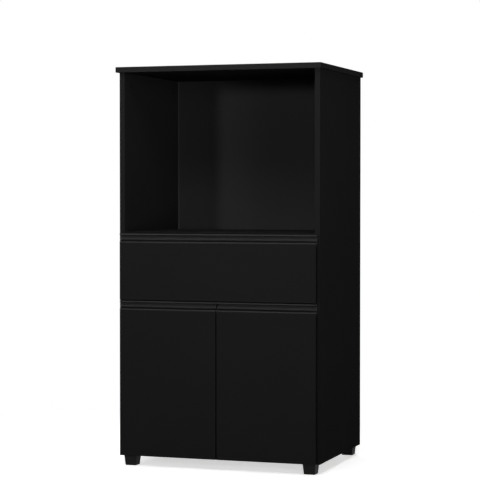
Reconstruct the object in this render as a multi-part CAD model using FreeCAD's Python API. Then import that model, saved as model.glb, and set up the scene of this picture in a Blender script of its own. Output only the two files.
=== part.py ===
"""Microwave stand: an open niche over one drawer and a two-door cupboard.

Millimetres. +X is the stand's right as seen from the front, +Y is its back and +Z is up.
The origin lies on the floor, under the middle of the stand's width and depth.
"""
import FreeCAD, Part
import math
import os

# --- Carcass boards ------------------------------------------------------------------------
BODY_WIDTH = 580.0           # over the outer faces of the two sides
SIDE_DEPTH = 418.0
SIDE_HEIGHT = 1065.0
BOARD = 15.0                 # thickness of every carcass board
BACK_THICKNESS = 3.0
BACK_INSET = 1.5             # back panels stop this far inside the sides' outer faces
BACK_JOINT = 1.0             # open joint between the two back panels
TOP_SIDE_OVERHANG = 6.3
TOP_FRONT_OVERHANG = 14.3
RAIL_DEPTH = 70.0            # cross rail between the drawer and the doors
EDGE_ROUND = 0.6             # rounding of the banded edges

# --- Drawer front and doors ----------------------------------------------------------------
FRONT_THICKNESS = 15.0
FRONT_STANDOFF = 2.0         # bumper gap between the fronts and the carcass
FRONT_INSET = 6.4            # fronts stop this far inside the sides' outer faces
FRONT_GAP = 3.0              # between neighbouring fronts
DOOR_LIFT = 2.0              # door's lower edge above the sides' lower edge
DOOR_HEIGHT = 430.5          # with its handle profile
DRAWER_FRONT_HEIGHT = 183.1  # with its handle profile
NICHE_REVEAL = 4.9           # niche floor above the drawer front

# --- Handle profile ------------------------------------------------------------------------
HANDLE_HEIGHT = 24.8
HANDLE_WALL = 1.6
UPPER_LIP = 3.2
LOWER_LIP = 3.2
RIDGE_FOOT = 8.8             # finger ridge on the profile's back wall, from the profile's base
RIDGE_RISE = 12.0
RIDGE_UNDERCUT = 6.2
RIDGE_REACH = 11.0
TONGUE_THICKNESS = 3.0
TONGUE_LENGTH = 8.0
TONGUE_CLEARANCE = 0.1

# --- Feet ----------------------------------------------------------------------------------
FOOT_HEIGHT = 28.0
FOOT_TOP = 37.0              # side of the square at the cabinet
FOOT_TIP = 31.5              # side of the square at the floor
FOOT_INSET = 11.5            # from the sides' outer faces
FOOT_SETBACK = 0.5           # from the carcass's front and rear edges
FOOT_ROUND = 2.0
FOOT_FLOOR = 6.0             # plastic left above the screw's counterbore
FOOT_COUNTERBORE = 5.5       # radius
FOOT_SCREW_LENGTH = 18.0

# --- Board fittings ------------------------------------------------------------------------
CAM_RADIUS = 7.5
CAM_SETBACK = 34.0           # drum axis from the joint
CAM_DEPTH = 12.5
CAM_BORE = 3.6               # radius of the cross bore that takes the bolt
CAM_SLOT_LENGTH = 9.0
CAM_SLOT_WIDTH = 1.6
CAM_SLOT_DEPTH = 1.2
CAP_RADIUS = 8.5             # plastic cap stuck over each cam drum
CAP_THICKNESS = 0.8
CAP_ROUND = 0.4
BOLT_THREAD_RADIUS = 2.5
BOLT_THREAD_LENGTH = 11.0
BOLT_SHANK_RADIUS = 2.2
BOLT_HEAD_RADIUS = 3.0
BOLT_HEAD_LENGTH = 4.0
DOWEL_RADIUS = 4.0
DOWEL_LONG_END = 20.0
DOWEL_SHORT_END = 10.0
FIT = 0.05                   # radial clearance of every fitted hole
HOLE_END = 0.5               # empty end of every blind hole
CAM_FROM_EDGE = 50.0         # first cam of a board from its front or rear edge
DOWEL_FROM_CAM = 32.0
RAIL_CAM_FROM_EDGE = 20.0
RAIL_DOWEL_FROM_CAM = 30.0

# --- Back nails ----------------------------------------------------------------------------
NAIL_RADIUS = 0.8
NAIL_LENGTH = 18.0
NAIL_HEAD_RADIUS = 2.2
NAIL_HEAD_THICKNESS = 0.7
NAIL_END_DISTANCE = 30.0     # first and last nail of a row from the panel's corners
NAILS_PER_EDGE = 4
NAILS_PER_ROW = 3
NAIL_CLEARANCE = 0.02

# --- Cupboard shelf ------------------------------------------------------------------------
SHELF_HEIGHT = 193.0         # shelf's underside above the bottom board
SHELF_SETBACK = 25.0         # behind the sides' front edges
SHELF_PLAY = 0.5             # at each end and at the back
PIN_RADIUS = 2.5
PIN_SUNK = 8.0
PIN_PROUD = 9.0
PIN_FROM_EDGE = 45.0
PIN_COLLAR_RADIUS = 4.5
PIN_COLLAR_THICKNESS = 1.0

# --- Drawer box ----------------------------------------------------------------------------
SLIDE_SPACE = 12.5           # between a carcass side and the drawer box
DRAWER_SIDE = 12.0           # thickness of the drawer's sides and back
DRAWER_REAR_ROOM = 25.0      # between the drawer box and the back panel
DRAWER_BOX_HEIGHT = 120.0
DRAWER_BOX_LIFT = 20.5       # drawer sides above the drawer front's lower edge
DRAWER_BACK_DROP = 10.0      # drawer back below the top of the drawer sides
DRAWER_BOTTOM_LIFT = 10.0    # bottom panel above the lower edge of the drawer sides
GROOVE_DEPTH = 6.0
GROOVE_CLEARANCE = 0.2
DRAWER_CAM_DEPTH = 9.5
DRAWER_CAM_HEIGHT = 60.0     # above the lower edge of the drawer sides
DRAWER_DOWEL_LOW = 30.0
DRAWER_DOWEL_HIGH = 95.0
BOX_SCREW_LENGTH = 38.0
BOX_SCREW_RADIUS = 2.0
BOX_SCREW_HEAD_RADIUS = 3.8
BOX_SCREW_HEAD_DEPTH = 2.2
BOX_SCREW_FROM_EDGE = 25.0

# --- Roller slides -------------------------------------------------------------------------
SLIDE_STEEL = 1.2
RAIL_PAST_DRAWER = 9.0       # rail's rear end behind the drawer box
RAIL_SETBACK = 2.0           # rail's front end behind the sides' front edges
RAIL_LOWER_FLANGE = 10.8
RAIL_UPPER_FLANGE = 9.5
RUNNER_OUTER_FLANGE = 8.3
RUNNER_INNER_FLANGE = 11.2
RUNNER_SETBACK = 2.0         # runner's front end behind the drawer front
ROLLER_RADIUS = 8.5
ROLLER_WIDTH = 6.5
ROLLER_PLAY = 0.3            # roller to track
ROLLER_SIDE_PLAY = 0.4
FLANGE_PLAY = 1.0            # runner's flange to rail's upper flange
AXLE_RADIUS = 2.5
AXLE_HEAD_RADIUS = 4.0
AXLE_HEAD_THICKNESS = 0.7
CABINET_ROLLER_FROM_END = 14.0
DRAWER_ROLLER_FROM_END = 12.0
ROLLER_GROOVE_RADIUS = 1.0
SCREWS_PER_SLIDE = 3
SLIDE_SCREW_FROM_END = 40.0
RUNNER_SCREW_LENGTH = 10.0

# --- Concealed hinges ----------------------------------------------------------------------
HINGE_FROM_END = 75.0        # hinge's middle from the door board's lower and upper edge
CUP_RADIUS = 17.5
CUP_DEPTH = 11.5
CUP_EDGE = 4.0               # door's outer edge to the cup's rim
CUP_WALL = 0.7
CUP_FLANGE = 0.7
CUP_FLANGE_RIM = 0.6         # flange beyond the cup's radius
CUP_WING_HEIGHT = 60.0
CUP_WING_INNER = 13.0        # wing's inner edge from the cup's axis
CUP_WING_OUTER = 1.0
CUP_SCREW_OFFSET = 6.0
CUP_SCREW_SPACING = 48.0
ARM_PIN_IN = 24.0            # arm's pin from the side's inner face
ARM_PIN_FORWARD = 4.5        # arm's pin in front of the sides' front edges
CUP_PIN_IN = 0.2             # cup's pin from the side's inner face, door shut
CUP_PIN_FORWARD = 4.9
PIN_SHAFT = 1.2              # radius of both hinge pins
PIN_PLAY = 0.05
LINK_EYE = 2.6
LINK_HALF_THICKNESS = 1.3
LINK_WIDTH = 7.0
ARM_WIDTH = 12.0
ARM_SHEET = 1.2
ARM_NOSE = 3.2
ARM_FORK_PLAY = 0.2
ARM_CRANK_TOP = 5.0          # outline of the arm, from the side's inner face and front edge
ARM_CRANK_END = 17.0
ARM_CRANK_FOOT = 12.0
ARM_HEIGHT = 13.5
ARM_REAR = 60.0
PLATE_THICKNESS = 2.0
PLATE_FRONT = 22.0
PLATE_REAR = 58.0
PLATE_WIDTH = 18.0
PLATE_WING_HEIGHT = 46.0
PLATE_WING_WIDTH = 12.0
PLATE_SCREW_LINE = 37.0      # system line, from the sides' front edges
PLATE_SCREW_SPACING = 32.0
PLATE_RIB_HEIGHT = 9.0
PLATE_RIB_PLAY = 0.3
PLATE_ARM_GAP = 0.2
ARM_SCREW_LINE = 50.0
ARM_SCREW_RADIUS = 2.4
ARM_SCREW_HEAD_RADIUS = 3.6
ARM_SCREW_HEAD = 1.4
ARM_SCREW_LENGTH = 8.0

# --- Small wood screws and bumpers ---------------------------------------------------------
SCREW_RADIUS = 1.75
SCREW_LENGTH = 12.0
SCREW_HEAD_RADIUS = 3.4
SCREW_HEAD_HEIGHT = 1.5
SCREW_CROSS = 0.8
SCREW_CROSS_DEPTH = 0.7
BUMPER_RADIUS = 2.7
BUMPER_FROM_EDGE = 17.0      # drawer bumpers from the drawer front's lower and upper edge
BUMPER_FROM_MIDDLE = 14.0    # door bumpers from the stand's middle

# --- Places worked out from the sizes ------------------------------------------------------
HALF_BODY = BODY_WIDTH / 2
INNER_HALF = HALF_BODY - BOARD
FRONT_FACE = -(FRONT_THICKNESS + FRONT_STANDOFF + SIDE_DEPTH + BACK_THICKNESS) / 2
FRONT_BACK = FRONT_FACE + FRONT_THICKNESS
CARCASS_FRONT = FRONT_BACK + FRONT_STANDOFF
CARCASS_REAR = CARCASS_FRONT + SIDE_DEPTH
BACK_FACE = CARCASS_REAR + BACK_THICKNESS
FRONT_HALF_WIDTH = HALF_BODY - FRONT_INSET
CARCASS_BOTTOM = FOOT_HEIGHT
CARCASS_TOP = CARCASS_BOTTOM + SIDE_HEIGHT
DOOR_BOTTOM = CARCASS_BOTTOM + DOOR_LIFT
DOOR_TOP = DOOR_BOTTOM + DOOR_HEIGHT
DRAWER_FRONT_BOTTOM = DOOR_TOP + FRONT_GAP
DRAWER_FRONT_TOP = DRAWER_FRONT_BOTTOM + DRAWER_FRONT_HEIGHT
NICHE_FLOOR_TOP = DRAWER_FRONT_TOP + NICHE_REVEAL
NICHE_FLOOR_BOTTOM = NICHE_FLOOR_TOP - BOARD
NICHE_FLOOR_MIDDLE = NICHE_FLOOR_TOP - BOARD / 2
RAIL_MIDDLE = DOOR_TOP + FRONT_GAP / 2
BOTTOM_BOARD_TOP = CARCASS_BOTTOM + BOARD
BOTTOM_BOARD_MIDDLE = CARCASS_BOTTOM + BOARD / 2
SHELF_BOTTOM = BOTTOM_BOARD_TOP + SHELF_HEIGHT
DRAWER_BOX_BOTTOM = DRAWER_FRONT_BOTTOM + DRAWER_BOX_LIFT
DRAWER_BOX_TOP = DRAWER_BOX_BOTTOM + DRAWER_BOX_HEIGHT
DRAWER_BOX_HALF = INNER_HALF - SLIDE_SPACE
DRAWER_BOX_INNER_HALF = DRAWER_BOX_HALF - DRAWER_SIDE
DRAWER_BOX_REAR = CARCASS_REAR - DRAWER_REAR_ROOM
DRAWER_BOTTOM_LOW = DRAWER_BOX_BOTTOM + DRAWER_BOTTOM_LIFT
DRAWER_BOTTOM_HIGH = DRAWER_BOTTOM_LOW + BACK_THICKNESS
DOOR_BOARD_TOP = DOOR_TOP - HANDLE_HEIGHT
DRAWER_BOARD_TOP = DRAWER_FRONT_TOP - HANDLE_HEIGHT
HINGE_HEIGHTS = (DOOR_BOTTOM + HINGE_FROM_END, DOOR_BOARD_TOP - HINGE_FROM_END)
CUP_AXIS_IN = FRONT_INSET - BOARD + CUP_EDGE + CUP_RADIUS

# Roller tracks: heights follow from the drawer sides' lower edge.
RUNNER_BOTTOM = DRAWER_BOX_BOTTOM - SLIDE_STEEL
RAIL_TRACK = RUNNER_BOTTOM + SLIDE_STEEL / 2
ROLLER_AXIS = RAIL_TRACK + ROLLER_PLAY + ROLLER_RADIUS
RUNNER_TRACK = ROLLER_AXIS + ROLLER_RADIUS + ROLLER_PLAY
RUNNER_TOP = RUNNER_TRACK + SLIDE_STEEL
RAIL_TOP = RUNNER_TOP + FLANGE_PLAY + SLIDE_STEEL
RAIL_FRONT = CARCASS_FRONT + RAIL_SETBACK
RAIL_REAR = DRAWER_BOX_REAR + RAIL_PAST_DRAWER
RUNNER_FRONT = FRONT_BACK + RUNNER_SETBACK
RUNNER_WEB = SLIDE_SPACE - SLIDE_STEEL
CABINET_ROLLER_Y = RAIL_FRONT + CABINET_ROLLER_FROM_END
DRAWER_ROLLER_Y = DRAWER_BOX_REAR - DRAWER_ROLLER_FROM_END

X = FreeCAD.Vector(1, 0, 0)
Y = FreeCAD.Vector(0, 1, 0)
Z = FreeCAD.Vector(0, 0, 1)
LEFT = -1
RIGHT = 1
SIDE_NAMES = {LEFT: "left", RIGHT: "right"}

cuts = {}      # board name to the tools that are cut out of it
groups = {}    # node name to its separate solids


def point(x, y, z):
    """A place in the stand's frame."""
    return FreeCAD.Vector(x, y, z)


def block(corner, opposite):
    """A box between two opposite corners."""
    low = point(min(corner.x, opposite.x), min(corner.y, opposite.y), min(corner.z, opposite.z))
    size = point(abs(corner.x - opposite.x), abs(corner.y - opposite.y), abs(corner.z - opposite.z))
    return Part.makeBox(size.x, size.y, size.z, low)


def slab(x_low, x_high, y_low, y_high, z_low, z_high):
    """A box from its six limits."""
    return block(point(x_low, y_low, z_low), point(x_high, y_high, z_high))


def rod(radius, start, direction, length):
    """A round bar from start along direction."""
    return Part.makeCylinder(radius, length, start, direction)


def extrusion(corners, travel):
    """A prism from a closed outline, swept along travel."""
    wire = Part.makePolygon(corners + [corners[0]])
    return Part.Face(wire).extrude(travel)


def mirrored(shape):
    """The same shape on the stand's other side."""
    return shape.mirror(point(0, 0, 0), X)


def on_side(shape, side):
    """A shape drawn for the left, placed left or right."""
    if side == RIGHT:
        return mirrored(shape)
    return shape


def rounded(shape, radius, chosen):
    """The shape with the chosen edges rounded."""
    return shape.makeFillet(radius, [edge for edge in shape.Edges if chosen(edge)])


def on_front(shape):
    """Picks the edges of the shape's front face."""
    front = shape.BoundBox.YMin
    return lambda edge: abs(edge.BoundBox.YMax - front) < FIT


def every_edge(edge):
    """Picks all edges."""
    return True


def cut_from(board, tool):
    """Notes a tool to cut out of a board."""
    cuts.setdefault(board, []).append(tool)


def add_to(node, solid):
    """Notes a separate solid of a node."""
    groups.setdefault(node, []).append(solid)


def spread(low, high, count):
    """Evenly spaced places from low to high."""
    return [low + (high - low) * index / (count - 1) for index in range(count)]


# --- Fittings ------------------------------------------------------------------------------
def cam_cap(seat, outward):
    """A low cap with a rounded rim."""
    cap = rod(CAP_RADIUS, seat, outward, CAP_THICKNESS)
    return rounded(cap, CAP_ROUND,
                   lambda edge: (edge.CenterOfMass - seat).dot(outward) > CAP_THICKNESS - FIT)


def add_cam(joint, inward, face, face_distance, depth, drum_board, bolt_board, prefix=""):
    """A cam drum, its cap and its bolt, which crosses from bolt_board to drum_board at joint."""
    axis_point = joint + inward * CAM_SETBACK
    floor = axis_point + face * (face_distance - depth)
    drum = rod(CAM_RADIUS, floor, face, depth)
    drum = drum.cut(rod(CAM_BORE, axis_point, inward * -1, CAM_RADIUS + FIT))
    across = inward.cross(face)
    mouth = axis_point + face * face_distance
    for long_way, short_way in ((inward, across), (across, inward)):
        half_long = long_way * (CAM_SLOT_LENGTH / 2)
        half_short = short_way * (CAM_SLOT_WIDTH / 2)
        drum = drum.cut(block(mouth - half_long - half_short,
                              mouth + half_long + half_short - face * CAM_SLOT_DEPTH))
    add_to(prefix + "cam_drums", drum)
    add_to(prefix + "cam_caps", cam_cap(mouth, face))

    thread = rod(BOLT_THREAD_RADIUS, joint - inward * BOLT_THREAD_LENGTH, inward, BOLT_THREAD_LENGTH)
    shank = rod(BOLT_SHANK_RADIUS, joint, inward, CAM_SETBACK - BOLT_HEAD_LENGTH)
    head = rod(BOLT_HEAD_RADIUS, axis_point - inward * BOLT_HEAD_LENGTH, inward, BOLT_HEAD_LENGTH)
    add_to(prefix + "cam_bolts", thread.fuse([shank, head]).removeSplitter())

    cut_from(drum_board, rod(CAM_RADIUS + FIT, floor, face, depth + FIT))
    cut_from(drum_board, rod(CAM_BORE, joint, inward, CAM_SETBACK))
    cut_from(bolt_board, rod(BOLT_THREAD_RADIUS + FIT, joint, inward * -1,
                             BOLT_THREAD_LENGTH + HOLE_END))


def add_dowel(joint, inward, long_board, short_board, node):
    """A wooden dowel across a joint, its long end in long_board."""
    start = joint - inward * DOWEL_SHORT_END
    add_to(node, rod(DOWEL_RADIUS, start, inward, DOWEL_SHORT_END + DOWEL_LONG_END))
    cut_from(long_board, rod(DOWEL_RADIUS + FIT, joint, inward, DOWEL_LONG_END + HOLE_END))
    cut_from(short_board, rod(DOWEL_RADIUS + FIT, joint, inward * -1, DOWEL_SHORT_END + HOLE_END))


def pan_screw(seat, inward, length):
    """A pan head wood screw with its head's underside at seat and its tip inward."""
    side_way = X if abs(inward.x) < 0.5 else Y
    other_way = inward.cross(side_way)
    top = seat - inward * SCREW_HEAD_HEIGHT
    screw = rod(SCREW_HEAD_RADIUS, top, inward, SCREW_HEAD_HEIGHT)
    screw = screw.fuse(rod(SCREW_RADIUS, seat, inward, length))
    for long_way, short_way in ((side_way, other_way), (other_way, side_way)):
        reach = long_way * (SCREW_HEAD_RADIUS / 2) + short_way * (SCREW_CROSS / 2)
        screw = screw.cut(block(top - reach, top + reach + inward * SCREW_CROSS_DEPTH))
    return screw


def add_pan_screw(node, seat, inward, length, through, board):
    """A pan screw through a steel or plastic piece of thickness `through` into a board."""
    add_to(node, pan_screw(seat, inward, length))
    cut_from(board, rod(SCREW_RADIUS + FIT, seat + inward * through, inward,
                        length - through + HOLE_END))


def screw_hole(seat, inward, through):
    """The clearance hole of a pan screw in the piece under its head."""
    return rod(SCREW_RADIUS + FIT, seat, inward, through)


# --- Carcass -------------------------------------------------------------------------------
def side_board():
    """The left side."""
    board = slab(-HALF_BODY, -INNER_HALF, CARCASS_FRONT, CARCASS_REAR, CARCASS_BOTTOM, CARCASS_TOP)
    return rounded(board, EDGE_ROUND, on_front(board))


def top_board():
    """The overhanging top."""
    reach = HALF_BODY + TOP_SIDE_OVERHANG
    board = slab(-reach, reach, CARCASS_FRONT - TOP_FRONT_OVERHANG, BACK_FACE,
                 CARCASS_TOP, CARCASS_TOP + BOARD)
    return rounded(board, EDGE_ROUND, every_edge)


def cross_board(bottom, rear):
    """A board between the sides, from their front edges back to rear."""
    board = slab(-INNER_HALF, INNER_HALF, CARCASS_FRONT, rear, bottom, bottom + BOARD)
    return rounded(board, EDGE_ROUND, on_front(board))


def cupboard_shelf():
    """The loose shelf on its four pins."""
    reach = INNER_HALF - SHELF_PLAY
    board = slab(-reach, reach, CARCASS_FRONT + SHELF_SETBACK, CARCASS_REAR - SHELF_PLAY,
                 SHELF_BOTTOM, SHELF_BOTTOM + BOARD)
    return rounded(board, EDGE_ROUND, on_front(board))


def back_panel(bottom, top):
    """A thin panel nailed to the carcass's rear edges."""
    reach = HALF_BODY - BACK_INSET
    return slab(-reach, reach, CARCASS_REAR, BACK_FACE, bottom, top)


def add_board_joints():
    """Cams and dowels that hold the cross boards and the top to the sides."""
    front_cam = CARCASS_FRONT + CAM_FROM_EDGE
    rear_cam = CARCASS_REAR - CAM_FROM_EDGE
    full_depth = ((front_cam, front_cam + DOWEL_FROM_CAM), (rear_cam, rear_cam - DOWEL_FROM_CAM))
    rail_cam = CARCASS_FRONT + RAIL_CAM_FROM_EDGE
    rail_only = ((rail_cam, rail_cam + RAIL_DOWEL_FROM_CAM),)
    cross_boards = (("niche_floor", NICHE_FLOOR_MIDDLE, full_depth),
                    ("drawer_rail", RAIL_MIDDLE, rail_only),
                    ("bottom_board", BOTTOM_BOARD_MIDDLE, full_depth))
    for side, side_name in SIDE_NAMES.items():
        side_node = side_name + "_side"
        inward = X * -side
        for board, height, places in cross_boards:
            for cam_y, dowel_y in places:
                add_cam(point(side * INNER_HALF, cam_y, height), inward, Z * -1, BOARD / 2,
                        CAM_DEPTH, board, side_node)
                add_dowel(point(side * INNER_HALF, dowel_y, height), inward, board, side_node,
                          "dowels")
        for cam_y, dowel_y in full_depth:
            middle = side * (HALF_BODY - BOARD / 2)
            add_cam(point(middle, cam_y, CARCASS_TOP), Z * -1, inward, BOARD / 2, CAM_DEPTH,
                    side_node, "top_board")
            add_dowel(point(middle, dowel_y, CARCASS_TOP), Z * -1, side_node, "top_board", "dowels")


def add_nail(x, z, panel, board):
    """A nail through a back panel into a board's rear edge, its head flush."""
    head = rod(NAIL_HEAD_RADIUS, point(x, BACK_FACE, z), Y * -1, NAIL_HEAD_THICKNESS)
    shank = rod(NAIL_RADIUS, point(x, BACK_FACE, z), Y * -1, NAIL_LENGTH)
    add_to("back_nails", head.fuse(shank).removeSplitter())
    cut_from(panel, rod(NAIL_HEAD_RADIUS + NAIL_CLEARANCE, point(x, BACK_FACE, z), Y * -1,
                        NAIL_HEAD_THICKNESS))
    for board_or_panel in (panel, board):
        cut_from(board_or_panel, rod(NAIL_RADIUS + NAIL_CLEARANCE, point(x, BACK_FACE, z), Y * -1,
                                     NAIL_LENGTH + NAIL_CLEARANCE))


def add_back_nails():
    """Rows of nails up both sides and along the niche floor and bottom board."""
    lower_top = NICHE_FLOOR_MIDDLE - BACK_JOINT / 2
    upper_bottom = NICHE_FLOOR_MIDDLE + BACK_JOINT / 2
    panels = (("lower_back", CARCASS_BOTTOM, lower_top), ("upper_back", upper_bottom, CARCASS_TOP))
    for side, side_name in SIDE_NAMES.items():
        for panel, low, high in panels:
            for height in spread(low + NAIL_END_DISTANCE, high - NAIL_END_DISTANCE, NAILS_PER_EDGE):
                add_nail(side * (HALF_BODY - BOARD / 2), height, panel, side_name + "_side")
    quarter = BOARD / 4
    rows = (("lower_back", "bottom_board", BOTTOM_BOARD_MIDDLE),
            ("lower_back", "niche_floor", NICHE_FLOOR_MIDDLE - quarter),
            ("upper_back", "niche_floor", NICHE_FLOOR_MIDDLE + quarter))
    reach = INNER_HALF / 2
    for panel, board, height in rows:
        for across in spread(-reach, reach, NAILS_PER_ROW):
            add_nail(across, height, panel, board)


def add_shelf_pins():
    """Four pins in the sides under the cupboard shelf."""
    height = SHELF_BOTTOM - PIN_RADIUS
    front = CARCASS_FRONT + SHELF_SETBACK + PIN_FROM_EDGE
    rear = CARCASS_REAR - PIN_FROM_EDGE
    for side, side_name in SIDE_NAMES.items():
        for depth in (front, rear):
            wall = point(side * INNER_HALF, depth, height)
            outward = X * side
            pin = rod(PIN_RADIUS, wall - outward * PIN_PROUD, outward, PIN_PROUD + PIN_SUNK)
            collar = rod(PIN_COLLAR_RADIUS, wall - outward * PIN_COLLAR_THICKNESS, outward,
                         PIN_COLLAR_THICKNESS)
            headroom = block(wall + point(-PIN_PROUD, -PIN_PROUD, PIN_RADIUS),
                             wall + point(PIN_PROUD, PIN_PROUD, PIN_PROUD))
            add_to("shelf_pins", pin.fuse(collar.cut(headroom)).removeSplitter())
            cut_from(side_name + "_side", rod(PIN_RADIUS + FIT, wall, outward, PIN_SUNK + HOLE_END))


# --- Feet ----------------------------------------------------------------------------------
def foot_square(centre, side_length, height):
    """The foot's square outline at one height."""
    half = side_length / 2
    corners = [point(centre.x - half, centre.y - half, height),
               point(centre.x + half, centre.y - half, height),
               point(centre.x + half, centre.y + half, height),
               point(centre.x - half, centre.y + half, height)]
    return Part.makePolygon(corners + [corners[0]])


def add_feet():
    """Four tapered feet, each with one screw up into the bottom board."""
    from_middle = HALF_BODY - FOOT_INSET - FOOT_TOP / 2
    from_edge = FOOT_SETBACK + FOOT_TOP / 2
    places = {"front": CARCASS_FRONT + from_edge, "rear": CARCASS_REAR - from_edge}
    bore_top = FOOT_HEIGHT - FOOT_FLOOR
    for side, side_name in SIDE_NAMES.items():
        for end_name, depth in places.items():
            centre = point(side * from_middle, depth, 0)
            foot = Part.makeLoft([foot_square(centre, FOOT_TIP, 0),
                                  foot_square(centre, FOOT_TOP, FOOT_HEIGHT)], True)
            foot = rounded(foot, FOOT_ROUND, lambda edge: edge.BoundBox.ZLength > FOOT_HEIGHT / 2)
            foot = rounded(foot, EDGE_ROUND, lambda edge: edge.BoundBox.ZMax < FIT)
            foot = foot.cut(rod(FOOT_COUNTERBORE, centre, Z, bore_top))
            seat = centre + Z * bore_top
            foot = foot.cut(screw_hole(seat, Z, FOOT_FLOOR))
            add_to("foot_" + end_name + "_" + side_name, foot)
            add_to("foot_screws", pan_screw(seat, Z, FOOT_SCREW_LENGTH))
            cut_from("bottom_board", rod(SCREW_RADIUS + FIT, centre + Z * FOOT_HEIGHT, Z,
                                         FOOT_SCREW_LENGTH - FOOT_FLOOR + HOLE_END))


# --- Fronts and handle profiles ------------------------------------------------------------
def front_board(x_low, x_high, bottom, top):
    """A door or drawer front with the groove for its handle profile's tongue."""
    board = slab(x_low, x_high, FRONT_FACE, FRONT_BACK, bottom, top)
    board = rounded(board, EDGE_ROUND, every_edge)
    middle = (FRONT_FACE + FRONT_BACK) / 2
    half = TONGUE_THICKNESS / 2 + TONGUE_CLEARANCE
    return board.cut(slab(x_low, x_high, middle - half, middle + half,
                          top - TONGUE_LENGTH - HOLE_END, top))


def handle_profile(x_low, x_high, base):
    """A channel open to the front, with a lip above and below and a finger ridge inside."""
    wall = HANDLE_WALL
    back = FRONT_THICKNESS - wall
    ridge = back - RIDGE_REACH
    ridge_top = RIDGE_FOOT + RIDGE_RISE
    roof = HANDLE_HEIGHT - wall
    middle = FRONT_THICKNESS / 2
    tongue = TONGUE_THICKNESS / 2
    outline = [(0, 0), (middle - tongue, 0), (middle - tongue, -TONGUE_LENGTH),
               (middle + tongue, -TONGUE_LENGTH), (middle + tongue, 0), (FRONT_THICKNESS, 0),
               (FRONT_THICKNESS, HANDLE_HEIGHT), (0, HANDLE_HEIGHT),
               (0, HANDLE_HEIGHT - UPPER_LIP), (wall, HANDLE_HEIGHT - UPPER_LIP), (wall, roof),
               (back, roof), (back, ridge_top), (ridge, RIDGE_FOOT),
               (back, RIDGE_FOOT - RIDGE_UNDERCUT), (back, wall), (wall, wall), (wall, LOWER_LIP),
               (0, LOWER_LIP)]
    corners = [point(x_low, FRONT_FACE + depth, base + height) for depth, height in outline]
    profile = extrusion(corners, X * (x_high - x_low))
    at_face = FRONT_FACE + FIT
    return rounded(profile, EDGE_ROUND,
                   lambda edge: edge.BoundBox.YMax < at_face and edge.BoundBox.XLength > wall)


def bumper(x, z):
    """A soft dot on the back of a front, as thick as the gap to the carcass."""
    return rod(BUMPER_RADIUS, point(x, FRONT_BACK, z), Y, FRONT_STANDOFF)


def add_drawer_front():
    """The drawer front, its handle profile and its four bumpers."""
    reach = FRONT_HALF_WIDTH
    add_to("drawer_front", front_board(-reach, reach, DRAWER_FRONT_BOTTOM, DRAWER_BOARD_TOP))
    add_to("drawer_handle", handle_profile(-reach, reach, DRAWER_BOARD_TOP))
    on_side_edge = (INNER_HALF + FRONT_HALF_WIDTH) / 2
    for side in SIDE_NAMES:
        for height in (DRAWER_FRONT_BOTTOM + BUMPER_FROM_EDGE, DRAWER_BOARD_TOP - BUMPER_FROM_EDGE):
            add_to("drawer_bumpers", bumper(side * on_side_edge, height))


def add_doors():
    """Both doors with their handle profiles and bumpers."""
    inner = FRONT_GAP / 2
    rail_bottom = RAIL_MIDDLE - BOARD / 2
    heights = ((DOOR_BOTTOM + BOTTOM_BOARD_TOP) / 2, (rail_bottom + DOOR_TOP) / 2)
    for side, side_name in SIDE_NAMES.items():
        low = min(side * inner, side * FRONT_HALF_WIDTH)
        high = max(side * inner, side * FRONT_HALF_WIDTH)
        add_to(side_name + "_door", front_board(low, high, DOOR_BOTTOM, DOOR_BOARD_TOP))
        add_to(side_name + "_door_handle", handle_profile(low, high, DOOR_BOARD_TOP))
        for height in heights:
            add_to(side_name + "_door_bumpers", bumper(side * BUMPER_FROM_MIDDLE, height))


# --- Drawer box ----------------------------------------------------------------------------
def drawer_side():
    """The left side of the drawer box, grooved for the bottom panel."""
    board = slab(-DRAWER_BOX_HALF, -DRAWER_BOX_INNER_HALF, FRONT_BACK, DRAWER_BOX_REAR,
                 DRAWER_BOX_BOTTOM, DRAWER_BOX_TOP)
    groove = slab(-DRAWER_BOX_INNER_HALF - GROOVE_DEPTH, -DRAWER_BOX_INNER_HALF,
                  FRONT_BACK, DRAWER_BOX_REAR,
                  DRAWER_BOTTOM_LOW, DRAWER_BOTTOM_HIGH + GROOVE_CLEARANCE)
    return board.cut(groove)


def add_drawer_box():
    """Drawer sides, back, bottom and what joins them."""
    for side, side_name in SIDE_NAMES.items():
        side_node = "drawer_" + side_name + "_side"
        add_to(side_node, on_side(drawer_side(), side))
        middle = side * (DRAWER_BOX_HALF - DRAWER_SIDE / 2)
        add_cam(point(middle, FRONT_BACK, DRAWER_BOX_BOTTOM + DRAWER_CAM_HEIGHT), Y, X * -side,
                DRAWER_SIDE / 2, DRAWER_CAM_DEPTH, side_node, "drawer_front", "drawer_")
        for rise in (DRAWER_DOWEL_LOW, DRAWER_DOWEL_HIGH):
            add_dowel(point(middle, FRONT_BACK, DRAWER_BOX_BOTTOM + rise), Y, side_node,
                      "drawer_front", "drawer_dowels")
        add_box_screws(side, side_node)
    back_top = DRAWER_BOX_TOP - DRAWER_BACK_DROP
    back_bottom = DRAWER_BOTTOM_HIGH + GROOVE_CLEARANCE
    add_to("drawer_back", slab(-DRAWER_BOX_INNER_HALF, DRAWER_BOX_INNER_HALF,
                               DRAWER_BOX_REAR - DRAWER_SIDE, DRAWER_BOX_REAR,
                               back_bottom, back_top))
    reach = DRAWER_BOX_INNER_HALF + GROOVE_DEPTH - GROOVE_CLEARANCE
    front_reach = FRONT_BACK - GROOVE_DEPTH
    add_to("drawer_bottom", slab(-reach, reach, front_reach + GROOVE_CLEARANCE, DRAWER_BOX_REAR,
                                 DRAWER_BOTTOM_LOW, DRAWER_BOTTOM_HIGH))
    cut_from("drawer_front", slab(-reach - GROOVE_CLEARANCE, reach + GROOVE_CLEARANCE, front_reach,
                                  FRONT_BACK, DRAWER_BOTTOM_LOW,
                                  DRAWER_BOTTOM_HIGH + GROOVE_CLEARANCE))


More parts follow.
